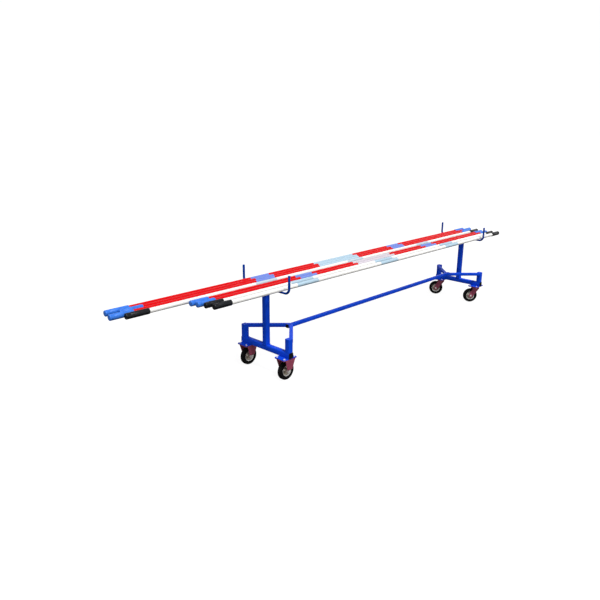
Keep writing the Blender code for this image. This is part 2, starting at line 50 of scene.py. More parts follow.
BODY_OF = {node: body for body, nodes in BODIES.items() for node in nodes}


def middle(node):
    low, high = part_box(node)
    return (low + high) / 2


CART = (middle("left_mast") + middle("right_mast")) / 2

# All sizes are in metres

# Cradle rod. HOOK_GROWTH is how fast it grows stouter along its bend. Each hook's tip is rounded by rows of
# (drop below the top, loss of radius)
ROD_RADIUS = 0.008
HOOK_RADIUS = 0.0095
ROD_BEND = 0.045
ROD_STEPS = 14
HOOK_GROWTH = 3.0
ROD_SIDES = 24
HOOK_TIP = ((0.0, 0.0032), (0.0006, 0.0015), (0.0018, 0.0004), (0.0034, 0.0))

# Welds. The bead's radius swings by shares of itself
WELD_RADIUS = 0.0022
CRADLE_WELD_RADIUS = 0.0026
BRACE_WELD_RADIUS = 0.0016
WELD_STEP = 0.0016
WELD_SIDES = 8
WELD_MEAN = 0.84
WELD_RIPPLE = 0.16
WELD_RIPPLE_STEPS = 2.6
WELD_DRIFT = 0.05
WELD_DRIFT_RATE = 0.7
WELD_END = 0.5
CRADLE_WELD_OFFSET = 0.0062
CRADLE_WELD_REACH = 0.8
PLATE_WELD_OUTER = 0.012
PLATE_WELD_INNER = 0.004
BRACE_WELD_REACH = 0.93

# Plugs, as rows of (inset from the tube's outside, depth along the tube)
PLUG_PROFILE = (
    (0.003, -0.0200), (0.003, -0.0034), (0.0, -0.0034), (0.0, -0.0014), (0.0004, -0.0006),
    (0.0014, -0.0001), (0.0030, 0.0), (0.0045, -0.0002), (0.0052, -0.0007), (0.0075, -0.0007),
)
PLUG_CORNER_SHARE = 0.13
PLUG_CORNER_LOSS = 0.6
PLUG_LEAST_CORNER = 0.0015

# Hexagons, with their chamfers as (share of the radius at the end, height)
HEXAGON_SEGMENTS = 24
SMALL_CHAMFER = (0.93, 0.00055)
LARGE_CHAMFER = (0.90, 0.0011)

# Castor plates and their bolts. The race is rows of (radius, drop below the plate)
PLATE_LENGTH = 0.138
PLATE_WIDTH = 0.110
PLATE_THICKNESS = 0.004
PLATE_CORNER = 0.010
PLATE_EDGE = 0.0008
PLATE_GAP = 0.0003
RACE_PROFILE = (
    (0.0300, -0.0010), (0.0345, 0.0002), (0.0358, 0.0020), (0.0360, 0.0052),
    (0.0352, 0.0075), (0.0338, 0.0090), (0.0300, 0.0098), (0.0100, 0.0100),
)
RACE_SEGMENTS = 48
BOLT_SPACING_X = 0.105
BOLT_SPACING_Y = 0.080
BOLT_TURN = (0.3, 0.9, 0.5)
WASHER_RADIUS = 0.0085
WASHER_HOLE = 0.0042
WASHER_THICKNESS = 0.0009
WASHER_RISE = 0.0002
WASHER_DROP = 0.0010
BOLT_NUT_RADIUS = 0.0072
BOLT_NUT_BOTTOM = 0.0011
BOLT_NUT_TOP = 0.0060
BOLT_HEAD_DROP = 0.0055
BOLT_END = ((0.0038, 0.0060), (0.0038, 0.0070), (0.0030, 0.0077))
BOLT_END_SEGMENTS = 16

# Forks, both kinds
FORK_OUTER = 0.0290
FORK_SHEET = 0.0034
FORK_COLUMNS = 10
SHEET_EDGE = 0.0009
SHEET_EDGE_ANGLE = math.radians(50.0)

# Forks that swivel. The crown's dish is rows of (radius, drop below the crown's top)
SWIVEL_EYE_RADIUS = 0.0218
SWIVEL_EYE_START = 0.16
SWIVEL_LEG_ROWS = 9
LEAST_ROW = 0.0004
CROWN_HALF = 0.0335
CROWN_FLARE = 0.001
CROWN_BEND = 0.009
CROWN_BEND_STEPS = 6
CROWN_DEPTH = 0.0143
CROWN_GAP = 0.0003
CROWN_SHEET_DROP = 0.001
CROWN_DISH = (
    (0.0100, 0.0002), (0.0340, 0.0002), (0.0368, 0.0008), (0.0379, 0.0022),
    (0.0376, 0.0036), (0.0360, 0.0048), (0.0330, 0.0054), (0.0100, 0.0056),
)
EYE_BOSS = ((0.0155, -0.0005), (0.0145, 0.0006), (0.0125, 0.0011), (0.0075, 0.0011))
EYE_BOSS_SEGMENTS = 32
KINGPIN_NUT_RADIUS = 0.0115
KINGPIN_NUT_TOP = 0.0056
KINGPIN_NUT_BOTTOM = 0.0130
KINGPIN_END = ((0.0055, 0.0130), (0.0055, 0.0150), (0.0046, 0.0158))
KINGPIN_SEGMENTS = 20

# Forks that don't swivel. A reach is along the wheel, a spread is across it from its middle
FIXED_EYE_RADIUS = 0.017
FIXED_EYE_START = 0.28
FIXED_EYE_STEPS = 10
FIXED_BEND_RISE = 0.011
FIXED_BEND_SHARES = (0.2, 0.5, 0.8)
FIXED_SHOULDER_RISE = 0.017
FIXED_SHOULDER_REACH = 0.026
FIXED_SHOULDER_SPREAD = 0.047
FIXED_TOP_REACH = 0.051
FIXED_TOP_SPREAD = 0.0545
FIXED_RISE_STEPS = 8
WEB_REACH = 0.042
WEB_SPREAD = 0.0515
WEB_CORNER = 0.004
WEB_LEVELS = ((0.001, 0.0036), (0.0, 0.0028), (0.0, 0.0004), (0.0004, 0.0))

# Wheels, as rows of (radius, distance from the wheel's middle plane)
WHEEL_SEGMENTS = 72
RIM_RADIUS = 0.0445
HUB_HALF_WIDTH = 0.0245
TYRE_SIDE = (
    (RIM_RADIUS + 0.0003, 0.0125), (RIM_RADIUS + 0.0012, 0.0152), (0.0484, 0.0168), (0.0530, 0.0181),
    (0.0580, 0.0189), (0.0640, 0.0190), (0.0675, 0.0184), (0.0702, 0.0170), (0.0722, 0.0150),
    (0.0735, 0.0122), (0.0741, 0.0098), (0.0733, 0.0092), (0.0733, 0.0082), (0.0744, 0.0076),
)
TREAD_RIB = 0.0040
TREAD_GROOVE = ((0.0738, 0.0034), (0.0738, 0.0024))
TREAD_MIDDLE = 0.0018
HUB_SIDE = (
    (0.0066, HUB_HALF_WIDTH), (0.0090, HUB_HALF_WIDTH), (0.0094, HUB_HALF_WIDTH - 0.0008),
    (0.0128, HUB_HALF_WIDTH - 0.0008), (0.0133, HUB_HALF_WIDTH - 0.0002),
    (0.0162, HUB_HALF_WIDTH - 0.0002), (0.0170, HUB_HALF_WIDTH - 0.0009),
)
RIM_SIDE = (
    (0.0171, 0.0150), (0.0180, 0.0112), (0.0205, 0.0095), (0.0240, 0.0080), (0.0262, 0.0060),
    (0.0286, 0.0046), (0.0324, 0.0042), (0.0348, 0.0056), (0.0366, 0.0088), (0.0380, 0.0124),
    (0.0396, 0.0148), (0.0418, 0.0158), (0.0440, 0.0160), (RIM_RADIUS, 0.0155), (RIM_RADIUS, 0.0115),
)
RIVETS = 6
RIVET_REACH = 0.0305
RIVET_HEAD = ((0.0036, 0.0040), (0.0036, 0.0058), (0.0030, 0.0066), (0.0014, 0.0071))
RIVET_SEGMENTS = 16

# Axles, with levels counted outwards from the forks' outer faces
AXLE_SEGMENTS = 32
AXLE_RADIUS = 0.0059
AXLE_HOLE = 0.0062
AXLE_HEXAGON = 0.0103
AXLE_WASHER_SWIVEL = 0.0108
AXLE_WASHER_FIXED = 0.0160
AXLE_WASHER_INNER = 0.0002
AXLE_WASHER_OUTER = 0.0014
AXLE_HEXAGON_OUTER = 0.0072
AXLE_NUT_CROWN = 0.0093
AXLE_NUT_CHAMFER = 0.0011
AXLE_END = 0.0095
AXLE_TIP = 0.0102
AXLE_TIP_RADIUS = 0.0048

# Crossbars. Each end piece is rows of (radius, distance from its tip), then of (radius, distance from its
# other end)
BAR_RADIUS = 0.017
END_RADIUS = 0.021
BAR_SEGMENTS = 40
BAR_LEVELS = 60
BAR_TRIM = 0.0002
BAR_INSERT = 0.02
CRADLE_SPACING = 2.936
LONG_DRIFT = 0.012
SHORT_DRIFT = 0.025
LONG_END = 0.172
SHORT_END = 0.150
END_TIP = (
    (0.0120, 0.0000), (0.0172, 0.0002), (0.0192, 0.0009), (0.0204, 0.0022), (END_RADIUS, 0.0042),
    (END_RADIUS, 0.0300), (0.0207, 0.0306), (0.0207, 0.0330), (END_RADIUS, 0.0336),
)
END_MOUTH = ((END_RADIUS, 0.0080), (0.0206, 0.0030), (0.0196, 0.0008), (0.0169, 0.0))
RED = (0.64, 0.0018, 0.005)
SKY = (0.17, 0.25, 0.66)
PALE = (0.42, 0.57, 0.68)
# The long white bar's printed pale bands, lightened with a painted highlight for the sheen that lies over them
PALE_WITH_SHEEN = (0.50, 0.61, 0.68)
MIST = (0.60, 0.55, 0.61)
WHITE = (0.86, 0.855, 0.83)
LONG_RED_BANDS = ((0.0, PALE), (0.2625, RED), (0.786, SKY), (0.983, RED))
SHORT_RED_BANDS = ((0.0, MIST), (0.2625, RED), (0.786, SKY), (0.975, RED))
LONG_WHITE_BANDS = ((0.0, PALE_WITH_SHEEN), (0.105, WHITE), (0.96, PALE_WITH_SHEEN), (1.18, WHITE))

# How far each crossbar's bands sit off its middle, and where each band starts from there outwards
BANDS = {
    "long_crossbar_1": (-0.029, LONG_RED_BANDS),
    "long_crossbar_2": (-0.096, LONG_RED_BANDS),
    "long_crossbar_3": (-0.034, LONG_RED_BANDS),
    "long_crossbar_4": (0.032, LONG_WHITE_BANDS),
    "short_crossbar_1": (-0.022, SHORT_RED_BANDS),
    "short_crossbar_2": (-0.032, SHORT_RED_BANDS),
    "short_crossbar_3": (-0.030, ((0.0, PALE), (0.120, WHITE), (0.921, PALE), (1.161, WHITE))),
    "short_crossbar_4": (-0.050, ((0.0, PALE), (0.118, WHITE), (0.927, PALE), (1.158, WHITE))),
}

# Studio and camera. The sky is rows of (height of the direction, colour)
FLOOR_RADII = (90.0, 20.0, 5.0, 0.02)
FLOOR_SEGMENTS = 96
FLOOR_LEVEL = -0.0004
FLOOR_GLOW = 0.93
SKY_LEVELS = (
    (-0.12, (0.12, 0.11, 0.10)),
    (-0.06, (1.02, 1.02, 1.02)),
    (0.22, (1.02, 1.02, 1.02)),
    (0.30, (0.42, 0.42, 0.43)),
)
SUN_ENERGY = 3.1
SUN_ANGLE = math.radians(14.0)
SUN_FROM = (-0.15, -0.52, 1.0)
CAMERA_YAW = math.radians(46.109)
CAMERA_PITCH = math.radians(16.73)
CAMERA_ROLL = math.radians(-0.427)
CAMERA_SENSOR = 36.0
CAMERA_LENS = 35.837
CAMERA_LEFT = 4.441
CAMERA_FRONT = 3.2221
CAMERA_HEIGHT = 1.9068

# Shading
SMOOTH_ANGLE = 35.0
PLUG_SMOOTH_ANGLE = 50.0
TYRE_SMOOTH_ANGLE = 50.0
WELD_SMOOTH_ANGLE = 80.0
MERGE_DISTANCE = 0.00002
SOFT_EDGE_ANGLE = math.radians(36.0)
NOISE_LOW = 0.3
NOISE_HIGH = 0.7
UP = Vector((0.0, 0.0, 1.0))

# Materials


class Surface:
    """A node material, with short calls for the nodes that it needs."""

    def __init__(self, name, roughness, metallic=0.0, specular=0.5):
        self.material = bpy.data.materials.new(name)
        self.material.use_nodes = True
        self.tree = self.material.node_tree
        self.shader = self.tree.nodes["Principled BSDF"]
        self.shader.inputs["Roughness"].default_value = roughness
        self.shader.inputs["Metallic"].default_value = metallic
        self.shader.inputs["Specular IOR Level"].default_value = specular
        self.coordinates = self.tree.nodes.new("ShaderNodeTexCoord").outputs["Object"]

    def node(self, kind, **settings):
        made = self.tree.nodes.new(kind)
        for key, value in settings.items():
            setattr(made, key, value)
        return made

    def link(self, source, target):
        self.tree.links.new(source, target)

    def noise(self, scale, detail, stretch=None, roughness=0.5):
        made = self.node("ShaderNodeTexNoise")
        made.inputs["Scale"].default_value = scale
        made.inputs["Detail"].default_value = detail
        made.inputs["Roughness"].default_value = roughness
        source = self.coordinates
        if stretch:
            mapping = self.node("ShaderNodeMapping")
            mapping.inputs["Scale"].default_value = stretch
            self.link(source, mapping.inputs["Vector"])
            source = mapping.outputs["Vector"]
        self.link(source, made.inputs["Vector"])
        return made.outputs["Fac"]

    def math(self, operation, first, second=None):
        made = self.node("ShaderNodeMath", operation=operation)
        for index, value in enumerate((first, second)):
            if value is None:
                continue
            if isinstance(value, (int, float)):
                made.inputs[index].default_value = value
            else:
                self.link(value, made.inputs[index])
        return made.outputs[0]

    def axis(self, letter):
        split = self.node("ShaderNodeSeparateXYZ")
        self.link(self.coordinates, split.inputs[0])
        return split.outputs[letter]

    def radius(self):
        """How far a point lies from the piece's own Z axis."""
        across = self.math("POWER", self.axis("X"), 2.0)
        along = self.math("POWER", self.axis("Y"), 2.0)
        return self.math("SQRT", self.math("ADD", across, along))

    def ramp(self, factor, stops, constant=False):
        made = self.node("ShaderNodeValToRGB")
        made.color_ramp.interpolation = "CONSTANT" if constant else "LINEAR"
        fill_ramp(made.color_ramp, stops)
        self.link(factor, made.inputs["Fac"])
        return made.outputs["Color"]

    def mottle(self, dark, light, scale, detail=4.0, stretch=None):
        """A colour that wanders between two."""
        return self.ramp(self.noise(scale, detail, stretch), ((NOISE_LOW, dark), (NOISE_HIGH, light)))

    def mix(self, factor, first, second, blend="MIX"):
        made = self.node("ShaderNodeMix", data_type="RGBA", blend_type=blend)
        for name, value in (("Factor", factor), ("A", first), ("B", second)):
            target = [socket for socket in made.inputs if socket.name == name and socket.enabled][0]
            if isinstance(value, (int, float)):
                target.default_value = value
            elif isinstance(value, tuple):
                target.default_value = (*value, 1.0)
            else:
                self.link(value, target)
        return [socket for socket in made.outputs if socket.enabled][0]

    def colour(self, source):
        self.link(source, self.shader.inputs["Base Color"])

    def vary_roughness(self, low, high, scale, detail=4.0, stretch=None):
        made = self.node("ShaderNodeMapRange")
        made.inputs["From Min"].default_value = NOISE_LOW
        made.inputs["From Max"].default_value = NOISE_HIGH
        made.inputs["To Min"].default_value = low
        made.inputs["To Max"].default_value = high
        self.link(self.noise(scale, detail, stretch), made.inputs["Value"])
        self.link(made.outputs[0], self.shader.inputs["Roughness"])

    def bump(self, distance, strength, scale, detail=2.0, stretch=None):
        made = self.node("ShaderNodeBump")
        made.inputs["Distance"].default_value = distance
        made.inputs["Strength"].default_value = strength
        self.link(self.noise(scale, detail, stretch), made.inputs["Height"])
        self.link(made.outputs["Normal"], self.shader.inputs["Normal"])


def fill_ramp(ramp, stops):
    while len(ramp.elements) < len(stops):
        ramp.elements.new(0.5)
    for element, (place, colour) in zip(ramp.elements, stops):
        element.position = place
        element.color = (*colour, 1.0)


def worn(surface, base, scuff, start, scale):
    """Paint with scuffs over it. start is where the scuffs' noise starts to show."""
    edge = 0.07
    noise = surface.noise(scale, detail=6.0, roughness=0.7)
    spread = surface.ramp(noise, ((start, (0.0, 0.0, 0.0)), (start + edge, (1.0, 1.0, 1.0))))
    surface.colour(surface.mix(spread, base, scuff))


def blue_paint():
    paint = Surface("blue_paint", roughness=0.3, specular=0.05)
    base = paint.mottle(dark=(0.004, 0.052, 0.57), light=(0.006, 0.068, 0.69), scale=7.0)
    worn(paint, base, scuff=(0.012, 0.100, 0.70), start=0.61, scale=30.0)
    paint.vary_roughness(low=0.26, high=0.38, scale=16.0)
    paint.bump(distance=0.00006, strength=0.35, scale=700.0)
    return paint.material


def shaded_cradle_paint():
    """The same blue, painted darker all over as shade for the rod under the crossbars."""
    paint = Surface("shaded_cradle_paint", roughness=0.4, specular=0.01)
    # painted shade: a darker copy of the frame's blue, for the rod lying in the crossbars' shade
    paint.colour(paint.mottle(dark=(0.002, 0.034, 0.25), light=(0.003, 0.048, 0.34), scale=30.0))
    paint.vary_roughness(low=0.34, high=0.5, scale=60.0)
    paint.bump(distance=0.00006, strength=0.35, scale=700.0)
    return paint.material


def weld_paint():
    paint = Surface("weld_paint", roughness=0.38, specular=0.08)
    paint.colour(paint.mottle(dark=(0.003, 0.042, 0.46), light=(0.004, 0.054, 0.58), scale=60.0))
    paint.bump(distance=0.0002, strength=0.5, scale=500.0, detail=4.0)
    return paint.material


def black_plastic():
    plastic = Surface("black_plastic", roughness=0.5, specular=0.08)
    plastic.colour(plastic.mottle(dark=(0.004, 0.004, 0.005), light=(0.008, 0.008, 0.009), scale=90.0))
    plastic.vary_roughness(low=0.42, high=0.6, scale=40.0, detail=3.0)
    plastic.bump(distance=0.00008, strength=0.5, scale=1400.0)
    return plastic.material


def zinc_steel():
    zinc = Surface("zinc_steel", roughness=0.3, metallic=0.25)
    zinc.colour(zinc.mottle(dark=(0.66, 0.66, 0.64), light=(0.86, 0.86, 0.84), scale=120.0))
    zinc.vary_roughness(low=0.25, high=0.45, scale=220.0, detail=3.0)
    zinc.bump(distance=0.00005, strength=0.4, scale=900.0, stretch=(1.0, 1.0, 6.0))
    return zinc.material


def maroon_paint():
    paint = Surface("maroon_paint", roughness=0.4, specular=0.3)
    base = paint.mottle(dark=(0.240, 0.038, 0.078), light=(0.330, 0.068, 0.118), scale=60.0)
    worn(paint, base, scuff=(0.33, 0.125, 0.160), start=0.60, scale=85.0)
    paint.vary_roughness(low=0.33, high=0.5, scale=70.0)
    paint.bump(distance=0.0001, strength=0.4, scale=600.0, detail=3.0)
    return paint.material


def rim_steel():
    """Plated steel, its dish darkened inside the bright edge with painted shade. The wheel's axis is the piece's
    own Z.
    """
    steel = Surface("rim_steel", roughness=0.22, metallic=0.8)
    share = steel.math("DIVIDE", steel.radius(), RIM_RADIUS)
    plate = steel.ramp(steel.noise(90.0, detail=5.0), ((0.3, (0.62, 0.61, 0.58)), (0.6, (1.0, 0.99, 0.97))))
    # painted shade: the dish between the hub and the bright edge is darkened for the shade and dark reflections in
    # its recess
    painted_dish_shade = steel.ramp(share, (
        (0.36, (0.80, 0.74, 0.66)),
        (0.52, (0.45, 0.40, 0.34)),
        (0.78, (0.62, 0.60, 0.50)),
        (0.84, (1.0, 1.0, 1.0)),
    ))
    steel.colour(steel.mix(1.0, plate, painted_dish_shade, "MULTIPLY"))
    steel.vary_roughness(low=0.18, high=0.34, scale=150.0)
    steel.bump(distance=0.00012, strength=0.4, scale=700.0, detail=3.0)
    return steel.material


def tyre_rubber():
    """Black rubber, its tread lightened grey in patches, partly with dust and partly with a painted sheen of sky
    light.
    """
    tread_start, tread_rate, sheen_and_dust_share = 0.0735, 800.0, 0.5
    rubber = Surface("tyre_rubber", roughness=0.75, specular=0.12)
    tread = rubber.math("MULTIPLY", rubber.math("SUBTRACT", rubber.radius(), tread_start), tread_rate)
    base = rubber.mottle(
        dark=(0.0012, 0.0011, 0.0011), light=(0.0026, 0.0023, 0.0023), scale=80.0, detail=5.0,
    )
    # dust and painted sheen: grey patches on the tread, partly for dust and partly for the sky light that the
    # tread catches
    dust_and_sheen = rubber.math("MULTIPLY", rubber.noise(200.0, detail=5.0), sheen_and_dust_share)
    factor = rubber.math("MINIMUM", rubber.math("MAXIMUM", tread, 0.0), dust_and_sheen)
    rubber.colour(rubber.mix(factor, base, (0.016, 0.016, 0.018)))
    rubber.vary_roughness(low=0.62, high=0.85, scale=120.0)
    rubber.bump(distance=0.00015, strength=0.5, scale=1200.0, detail=3.0)
    return rubber.material


def bar_gloss(name, half, shift, bands):
    """Painted glass-fibre in colour bands, which lie the same way on both sides of the bands' middle."""
    gloss = Surface(name, roughness=0.24, specular=0.15)
    place = gloss.math("ABSOLUTE", gloss.math("SUBTRACT", gloss.axis("Z"), shift))
    share = gloss.math("DIVIDE", place, half)
    colour = gloss.ramp(share, [(metres / half, colour) for metres, colour in bands], constant=True)
    cloud = gloss.mottle(
        dark=(0.955, 0.955, 0.955), light=(1.0, 1.0, 1.0), scale=5.0, detail=3.0, stretch=(6.0, 6.0, 1.0),
    )
    gloss.colour(gloss.mix(1.0, colour, cloud, "MULTIPLY"))
    gloss.vary_roughness(low=0.2, high=0.32, scale=30.0, stretch=(1.0, 1.0, 0.1))
    gloss.bump(distance=0.00012, strength=0.35, scale=260.0, detail=3.0, stretch=(1.0, 1.0, 0.03))
    return gloss.material


def end_gloss(name, dark, light):
    """The crossbars' moulded end pieces."""
    gloss = Surface(name, roughness=0.32, specular=0.3)
    gloss.colour(gloss.mottle(dark, light, scale=35.0))
    gloss.vary_roughness(low=0.26, high=0.42, scale=50.0)
    gloss.bump(distance=0.0001, strength=0.4, scale=900.0)
    return gloss.material


BLUE = blue_paint()
SHADED_CRADLE = shaded_cradle_paint()
WELD = weld_paint()
BLACK = black_plastic()
ZINC = zinc_steel()
MAROON = maroon_paint()
RIM = rim_steel()
RUBBER = tyre_rubber()
BLUE_END = end_gloss("blue_end_piece", (0.026, 0.150, 0.62), (0.044, 0.205, 0.74))
BLACK_END = end_gloss("black_end_piece", (0.003, 0.004, 0.006), (0.007, 0.009, 0.012))

# Mesh helpers


def make(name, shape, material, smooth_angle=SMOOTH_ANGLE):
    """Puts a bmesh in the scene as a piece of that name."""
    bmesh.ops.recalc_face_normals(shape, faces=shape.faces)
    mesh = bpy.data.meshes.new(name)
    shape.to_mesh(mesh)
    shape.free()
    mesh.shade_smooth()
    mesh.set_sharp_from_angle(angle=math.radians(smooth_angle))
    mesh.materials.append(material)
    piece = bpy.data.objects.new(name, mesh)
    bpy.context.scene.collection.objects.link(piece)
    return piece


def add_loft(shape, rings, closed=False, matrix=Matrix()):
    """Faces from ring to ring, with a cap at each end unless the last ring goes on to the first."""
    loops = [[shape.verts.new(matrix @ point) for point in ring] for ring in rings]
    count = len(loops[0])
    pairs = list(zip(loops, loops[1:]))
    if closed:
        pairs.append((loops[-1], loops[0]))
    for lower, upper in pairs:
        for index in range(count):
            following = (index + 1) % count
            shape.faces.new((lower[index], lower[following], upper[following], upper[index]))
    if not closed:
        shape.faces.new(loops[0])
        shape.faces.new(loops[-1])


def circle(radius, z, segments, flats=0, phase=0.5):
    """A ring of points, or a polygon of that many flats and corners at that radius."""
    points = []
    for index in range(segments):
        angle = 2 * math.pi * (index + phase) / segments
        reach = radius
        if flats:
            half_side = math.pi / flats
            reach = radius * math.cos(half_side) / math.cos(angle % (2 * half_side) - half_side)
        points.append(Vector((reach * math.cos(angle), reach * math.sin(angle), z)))
    return points


def add_turned(shape, profile, segments, closed=False, matrix=Matrix()):
    """A profile of (radius, z) turned about Z."""
    add_loft(shape, [circle(radius, z, segments) for radius, z in profile], closed, matrix)


def mirrored(half):
    """A whole profile from its upper half."""
    return list(half) + [(radius, -z) for radius, z in reversed(half)]


def rounded_rectangle(width, height, corner, z):
    steps = 6
    points = []
    for side_x, side_y, start in ((1, 1, 0.0), (-1, 1, 0.5), (-1, -1, 1.0), (1, -1, 1.5)):
        for step in range(steps + 1):
            angle = math.pi * (start + 0.5 * step / steps)
            x = side_x * (width / 2 - corner) + corner * math.cos(angle)
            y = side_y * (height / 2 - corner) + corner * math.sin(angle)
            points.append(Vector((x, y, z)))
    return points


def frame_along(direction):
    """A rotation that takes Z along a level direction and Y upright."""
    along = direction.normalized()
    side = UP.cross(along).normalized()
    return Matrix((side, along.cross(side).normalized(), along)).transposed().to_4x4()


def settle(piece, body, matrix=None, replaces=()):
    """Puts a piece in its place on its body, and hides the parts that it stands in for."""
    if matrix is not None:
        piece.matrix_world = matrix
    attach(piece, body)
    if replaces:
        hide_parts(*replaces)


# Painted frame


def soft_shading():
    """A modifier that shades the faceted tubes' rounded corners smoothly, and keeps their ends sharp."""
    tree = bpy.data.node_groups.new("soft_shading", "GeometryNodeTree")
    tree.interface.new_socket("Geometry", in_out="INPUT", socket_type="NodeSocketGeometry")
    tree.interface.new_socket("Geometry", in_out="OUTPUT", socket_type="NodeSocketGeometry")
    start = tree.nodes.new("NodeGroupInput")
    end = tree.nodes.new("NodeGroupOutput")
    merge = tree.nodes.new("GeometryNodeMergeByDistance")
    merge.inputs["Distance"].default_value = MERGE_DISTANCE
    angle = tree.nodes.new("GeometryNodeInputMeshEdgeAngle")
    compare = tree.nodes.new("FunctionNodeCompare")
    compare.operation = "LESS_THAN"
    compare.inputs[1].default_value = SOFT_EDGE_ANGLE
    faces = tree.nodes.new("GeometryNodeSetShadeSmooth")
    faces.domain = "FACE"
    edges = tree.nodes.new("GeometryNodeSetShadeSmooth")
    edges.domain = "EDGE"
    tree.links.new(start.outputs[0], merge.inputs["Geometry"])
    tree.links.new(merge.outputs[0], faces.inputs["Geometry"])
    tree.links.new(faces.outputs[0], edges.inputs["Geometry"])
    tree.links.new(angle.outputs["Unsigned Angle"], compare.inputs[0])
    tree.links.new(compare.outputs[0], edges.inputs["Shade Smooth"])
    tree.links.new(edges.outputs[0], end.inputs[0])
    return tree


SOFT = soft_shading()


def finish_node(node):
    piece = frame["nodes"][node]
    piece.data.materials.clear()
    piece.data.materials.append(BLUE)
    shading = piece.modifiers.new("soft_shading", "NODES")
    shading.node_group = SOFT


def cradle_rod(side):
    """The cradle's round bar, with smooth bends, and a little stouter in its hooks."""
    low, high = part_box(f"{side}_cradle")
    half = (high.y - low.y) / 2 - ROD_RADIUS
    bend_z = low.z + ROD_RADIUS + ROD_BEND
    stations = [(half, high.z - drop, 0.0, HOOK_RADIUS - loss) for drop, loss in HOOK_TIP]
    for index in range(ROD_STEPS + 1):
        turn = math.pi / 2 * index / ROD_STEPS
        y = half - ROD_BEND * (1 - math.cos(turn))
        stoutness = min(1.0, HOOK_GROWTH * (1 - index / ROD_STEPS))
        radius = ROD_RADIUS + (HOOK_RADIUS - ROD_RADIUS) * stoutness
        stations.append((y, bend_z - ROD_BEND * math.sin(turn), turn, radius))
    stations += [(-y, z, math.pi - turn, radius) for y, z, turn, radius in reversed(stations)]
    middle_x, middle_y = (low.x + high.x) / 2, (low.y + high.y) / 2
    rings = []
    for y, z, turn, radius in stations:
        outward = Vector((0.0, math.cos(turn), -math.sin(turn)))
        spot = Vector((middle_x, middle_y + y, z))
        rings.append([spot + Vector((point.x, 0.0, 0.0)) + point.y * outward
                      for point in circle(radius, 0.0, ROD_SIDES)])
    shape = bmesh.new()
    add_loft(shape, rings)
    rod = make(f"{side}_cradle_rod", shape, SHADED_CRADLE)
    settle(rod, "frame", replaces=(f"{side}_cradle",))


def painted_frame():
    for side in ("left", "right"):
        for node in ("base_beam", "mast"):
            finish_node(f"{side}_{node}")
        cradle_rod(side)
        for end in ("front", "rear"):
            for node in ("post", "brace", "mount_plate"):
                finish_node(f"{side}_{end}_{node}")
    finish_node("spine_tube")


def weld_bead(name, points, radius=WELD_RADIUS, closed=False):
    """A rippled bead of weld along a path."""
    path = [Vector(point) for point in points]
    if closed:
        path.append(path[0])
    stations = []
    for first, last in zip(path, path[1:]):
        along = (last - first).normalized()
        count = max(2, round((last - first).length / WELD_STEP))
        stations += [(first.lerp(last, index / count), along) for index in range(count)]
    if not closed:
        stations.append((path[-1], along))
    rings = []
    for index, (point, along) in enumerate(stations):
        turn = along.to_track_quat("Z", "Y").to_matrix()
        ripple = WELD_MEAN + WELD_RIPPLE * math.cos(2 * math.pi * index / WELD_RIPPLE_STEPS)
        ripple += WELD_DRIFT * math.sin(index * WELD_DRIFT_RATE)
        if not closed and index in (0, len(stations) - 1):
            ripple *= WELD_END
        ring = circle(radius * ripple, 0.0, WELD_SIDES, phase=0.0)
        rings.append([point + turn @ side for side in ring])
    shape = bmesh.new()
    add_loft(shape, rings, closed)
    settle(make(name, shape, WELD, WELD_SMOOTH_ANGLE), "frame")


def carriage_welds(side):
    beam_low, beam_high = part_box(f"{side}_base_beam")
    mast_low, mast_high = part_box(f"{side}_mast")
    middle_x = (beam_low.x + beam_high.x) / 2
    middle_y = (mast_low.y + mast_high.y) / 2
    half = (mast_high.x - mast_low.x) / 2
    corners = ((-half, -half), (half, -half), (half, half), (-half, half))
    foot = [(middle_x + x, middle_y + y, mast_low.z) for x, y in corners]
    weld_bead(f"{side}_mast_foot_weld", foot, closed=True)
    rod_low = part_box(f"{side}_cradle")[0].z
    reach = half * CRADLE_WELD_REACH
    for turn in (-1, 1):
        x = middle_x + turn * CRADLE_WELD_OFFSET
        path = [(x, middle_y - reach, rod_low), (x, middle_y + reach, rod_low)]
        weld_bead(f"{side}_cradle_weld_{turn + 2}", path, CRADLE_WELD_RADIUS)


def corner_welds(side, inward, end, across):
    """The welds of one corner's post, mounting plate and brace."""
    beam_low, beam_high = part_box(f"{side}_base_beam")
    mast_low, mast_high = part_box(f"{side}_mast")
    middle_x = (beam_low.x + beam_high.x) / 2
    half = (mast_high.x - mast_low.x) / 2
    post_low, post_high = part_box(f"{side}_{end}_post")
    inner_y = post_low.y if across > 0 else post_high.y
    path = [(middle_x - half, inner_y, post_low.z), (middle_x + half, inner_y, post_low.z)]
    weld_bead(f"{side}_{end}_post_weld", path)
    plate_low, plate_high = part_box(f"{side}_{end}_mount_plate")
    start_y = plate_low.y + PLATE_WELD_OUTER
    stop_y = min(plate_high.y, beam_high.y) - PLATE_WELD_INNER
    for turn in (-1, 1):
        x = middle_x + turn * half
        path = [(x, start_y, plate_high.z), (x, stop_y, plate_high.z)]
        weld_bead(f"{side}_{end}_plate_weld_{turn + 2}", path)
    brace_low, brace_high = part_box(f"{side}_{end}_brace")
    face_x = post_high.x if inward > 0 else post_low.x
    post_y = (post_low.y + post_high.y) / 2
    reach = (brace_high.z - brace_low.z) / 2 * BRACE_WELD_REACH
    for word, level in (("low", brace_low.z), ("high", brace_high.z)):
        path = [(face_x, post_y - reach, level), (face_x, post_y + reach, level)]
        weld_bead(f"{side}_{end}_brace_weld_{word}", path, BRACE_WELD_RADIUS)


def frame_welds():
    for side, inward in (("left", 1), ("right", -1)):
        carriage_welds(side)
        for end, across in (("front", -1), ("rear", 1)):
            corner_welds(side, inward, end, across)


